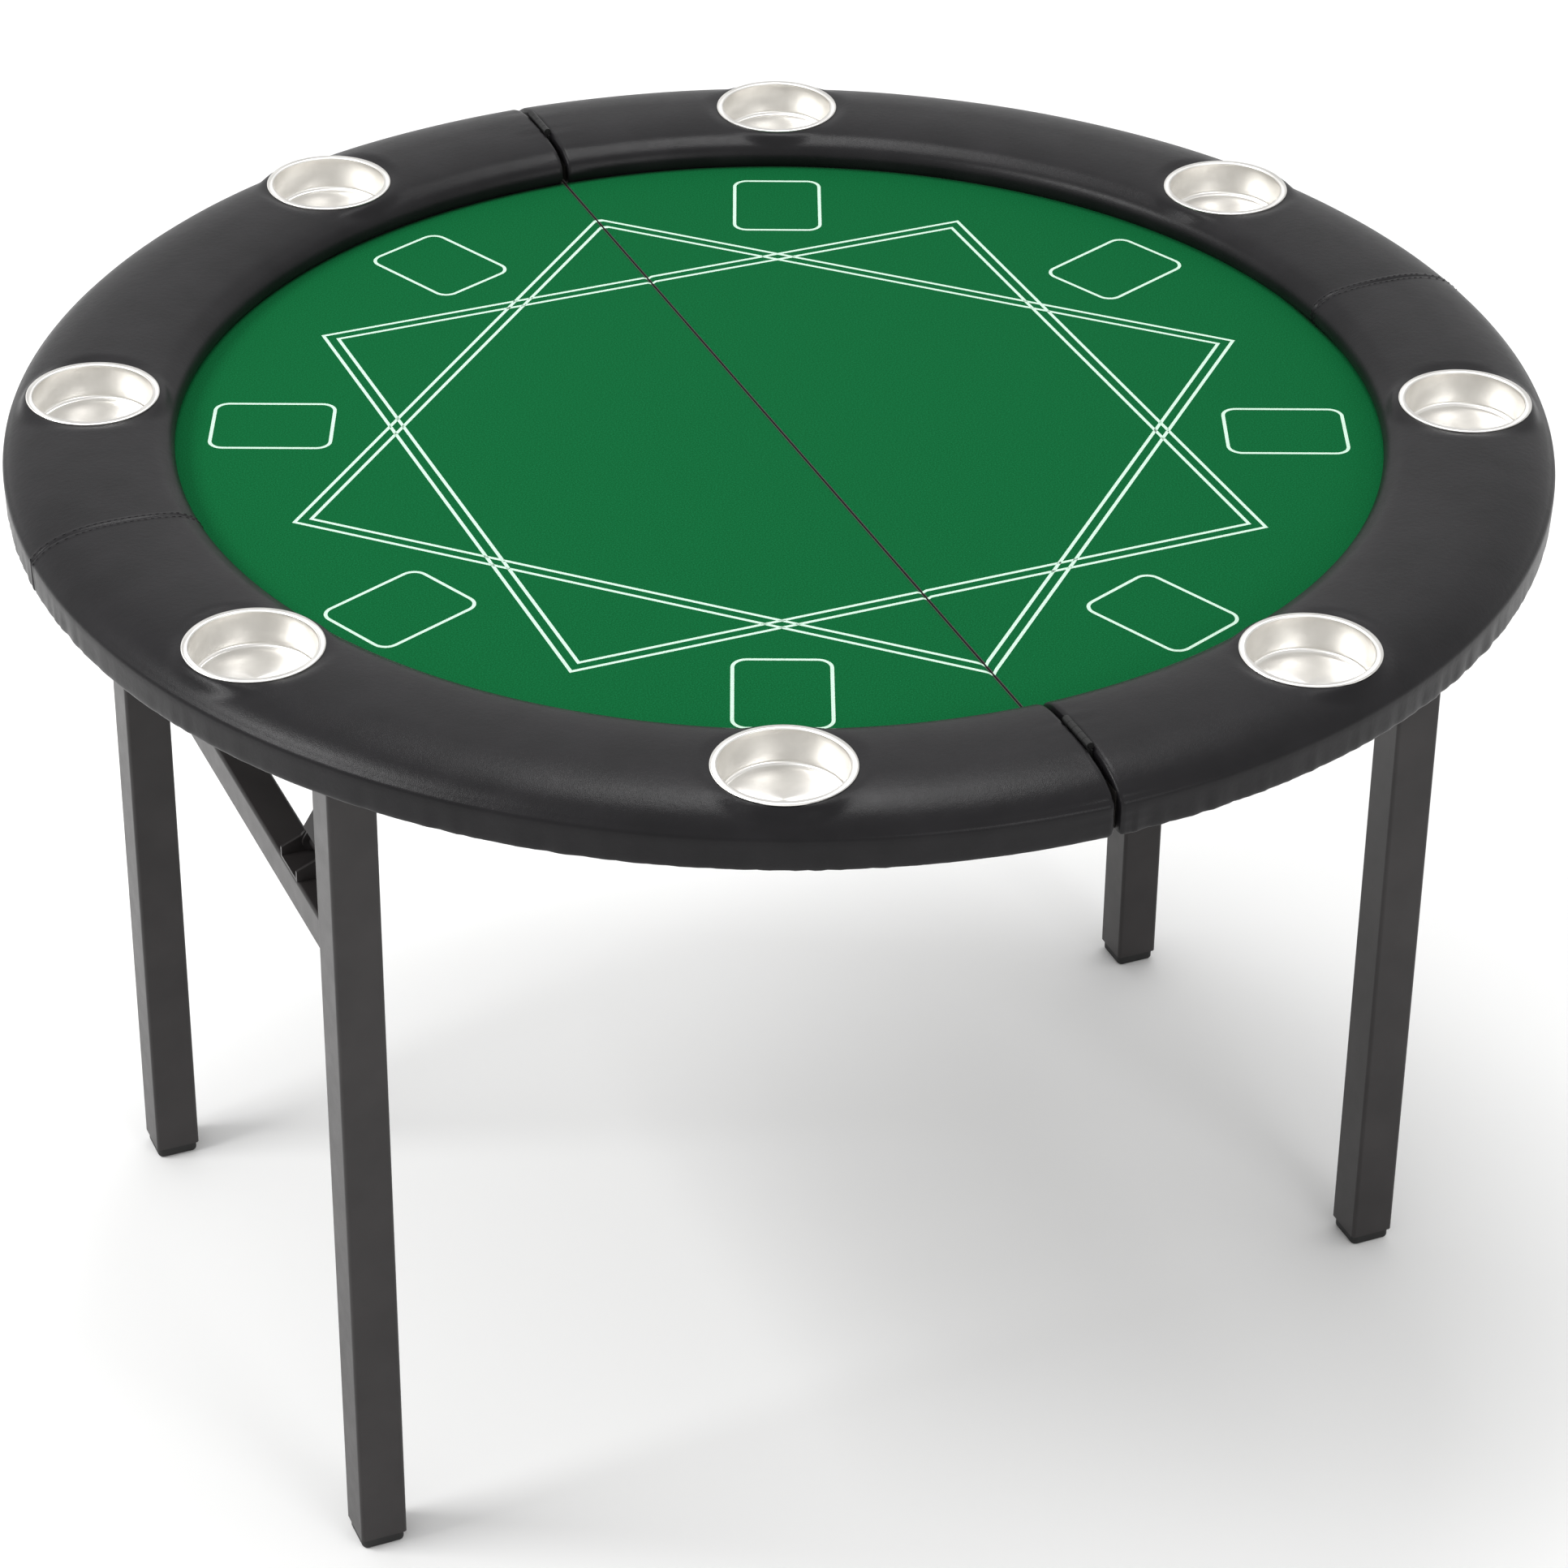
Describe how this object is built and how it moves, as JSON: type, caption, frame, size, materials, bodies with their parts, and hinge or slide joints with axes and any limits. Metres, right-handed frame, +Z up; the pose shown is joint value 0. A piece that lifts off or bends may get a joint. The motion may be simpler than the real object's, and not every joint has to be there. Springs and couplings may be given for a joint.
{
  "type": "folding poker table",
  "caption": "Round folding poker table with padded rail, inset steel cup holders, printed felt and folding braced leg frames.",
  "frame": {"origin": "middle of the table on the floor", "axes": "+Z up, +Y along the fold line, +X from the fold line into the right half"},
  "size_m": [1.2198, 1.22, 0.803],
  "materials": {
    "board": "black-faced fibreboard",
    "felt": "matte speckled cloth with printed lines",
    "rail_leather": "satin grained faux leather",
    "cup_steel": "brushed",
    "zinc": "zinc plated",
    "hinge_black": "black oxide",
    "frame_paint": "fine satin powder coat",
    "glide_plastic": "matte"
  },
  "bodies": {
    "half_right": {"playing_board_right": "board", "felt_cloth_right": "felt", "rail_core_right": "board", "rail_pad_right": "rail_leather", "cup_holder_right_1": "cup_steel", "cup_holder_right_2": "cup_steel", "cup_holder_right_3": "cup_steel", "cup_holder_right_4": "cup_steel", "hinge_leaves_right": "hinge_black", "hinge_screws_right": "hinge_black", "leg_brackets_right": "frame_paint", "leg_pivot_bolts_right": "zinc", "brace_brackets_right": "frame_paint", "brace_top_pins_right": "zinc", "bracket_screws_right": "zinc", "rail_screws_right": "zinc", "hinge_pins": "hinge_black"},
    "leg_frame_right": {"leg_tube_right_front": "frame_paint", "leg_tube_right_back": "frame_paint", "leg_crossbar_right": "frame_paint", "foot_glides_right": "glide_plastic", "crossbar_brackets_right": "frame_paint", "brace_foot_pins_right": "frame_paint"},
    "brace_upper_right": {"brace_upper_links_right": "frame_paint"},
    "brace_lower_right": {"brace_lower_channels_right": "frame_paint", "knee_rivets_right": "frame_paint"},
    "half_left": {"playing_board_left": "board", "felt_cloth_left": "felt", "rail_core_left": "board", "rail_pad_left": "rail_leather", "cup_holder_left_1": "cup_steel", "cup_holder_left_2": "cup_steel", "cup_holder_left_3": "cup_steel", "cup_holder_left_4": "cup_steel", "hinge_leaves_left": "hinge_black", "hinge_screws_left": "hinge_black", "leg_brackets_left": "frame_paint", "leg_pivot_bolts_left": "zinc", "brace_brackets_left": "frame_paint", "brace_top_pins_left": "zinc", "bracket_screws_left": "zinc", "rail_screws_left": "zinc"},
    "leg_frame_left": {"leg_tube_left_front": "frame_paint", "leg_tube_left_back": "frame_paint", "leg_crossbar_left": "frame_paint", "foot_glides_left": "glide_plastic", "crossbar_brackets_left": "frame_paint", "brace_foot_pins_left": "frame_paint"},
    "brace_upper_left": {"brace_upper_links_left": "frame_paint"},
    "brace_lower_left": {"brace_lower_channels_left": "frame_paint", "knee_rivets_left": "frame_paint"}
  },
  "joints": [
    {"name": "table_fold", "type": "hinge", "parent": "half_right", "child": "half_left", "pos_m": [0, 0, 0.8], "axis": [0, 1, 0], "range_deg": [0, 180]},
    {"name": "leg_fold_right", "type": "hinge", "parent": "half_right", "child": "leg_frame_right", "pos_m": [0.46, 0, 0.727], "axis": [0, 1, 0], "range_deg": [0, 90]},
    {"name": "brace_upper_right", "type": "hinge", "parent": "half_right", "child": "brace_upper_right", "pos_m": [0.36, 0, 0.737], "axis": [0, -1, 0], "range_deg": [0, 60.16]},
    {"name": "brace_lower_right", "type": "hinge", "parent": "leg_frame_right", "child": "brace_lower_right", "pos_m": [0.451, 0, 0.591], "axis": [0, 1, 0], "range_deg": [0, 30.84]},
    {"name": "leg_fold_left", "type": "hinge", "parent": "half_left", "child": "leg_frame_left", "pos_m": [-0.46, 0, 0.727], "axis": [0, -1, 0], "range_deg": [0, 90]},
    {"name": "brace_upper_left", "type": "hinge", "parent": "half_left", "child": "brace_upper_left", "pos_m": [-0.36, 0, 0.737], "axis": [0, 1, 0], "range_deg": [0, 60.16]},
    {"name": "brace_lower_left", "type": "hinge", "parent": "leg_frame_left", "child": "brace_lower_left", "pos_m": [-0.451, 0, 0.591], "axis": [0, -1, 0], "range_deg": [0, 30.84]}
  ],
  "couplings": [
    {"joint": "brace_upper_right", "follows": "leg_fold_right", "ratio": 0.66285},
    {"joint": "brace_lower_right", "follows": "leg_fold_right", "ratio": 0.33715},
    {"joint": "brace_upper_left", "follows": "leg_fold_left", "ratio": 0.66285},
    {"joint": "brace_lower_left", "follows": "leg_fold_left", "ratio": 0.33715}
  ]
}
